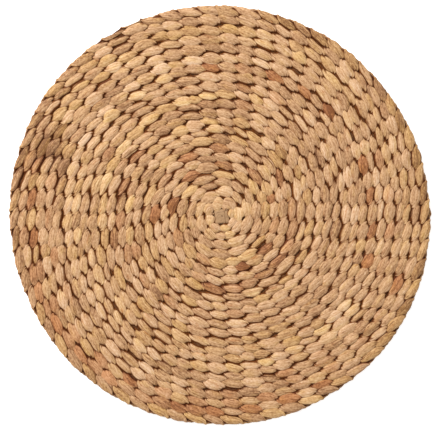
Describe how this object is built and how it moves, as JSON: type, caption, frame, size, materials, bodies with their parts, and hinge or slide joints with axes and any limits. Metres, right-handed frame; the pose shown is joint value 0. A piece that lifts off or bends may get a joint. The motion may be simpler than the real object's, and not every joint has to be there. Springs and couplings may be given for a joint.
{
  "type": "round water hyacinth placemat",
  "caption": "Round flat placemat, twined in one spiral row from flattened water hyacinth stems over radiating stakes, with a small square crossing at the centre.",
  "frame": {"origin": "on the underside, at the middle of the outline's box", "axes": "+Z out of the top face, through the thickness. Seen from above, the spiral row winds outwards clockwise and its end tapers away between 130 and 30 degrees from +X towards +Y."},
  "size_m": [0.3686, 0.3674, 0.008],
  "materials": {
    "twined_stems": "dried plant stem, matt with a faint satin sheen along the fibres, tan to straw",
    "stake_stems": "dried plant stem, matt, olive tan"
  },
  "bodies": {
    "root": {"woven_disc": "twined_stems", "stake_crossing": "stake_stems"}
  },
  "joints": []
}
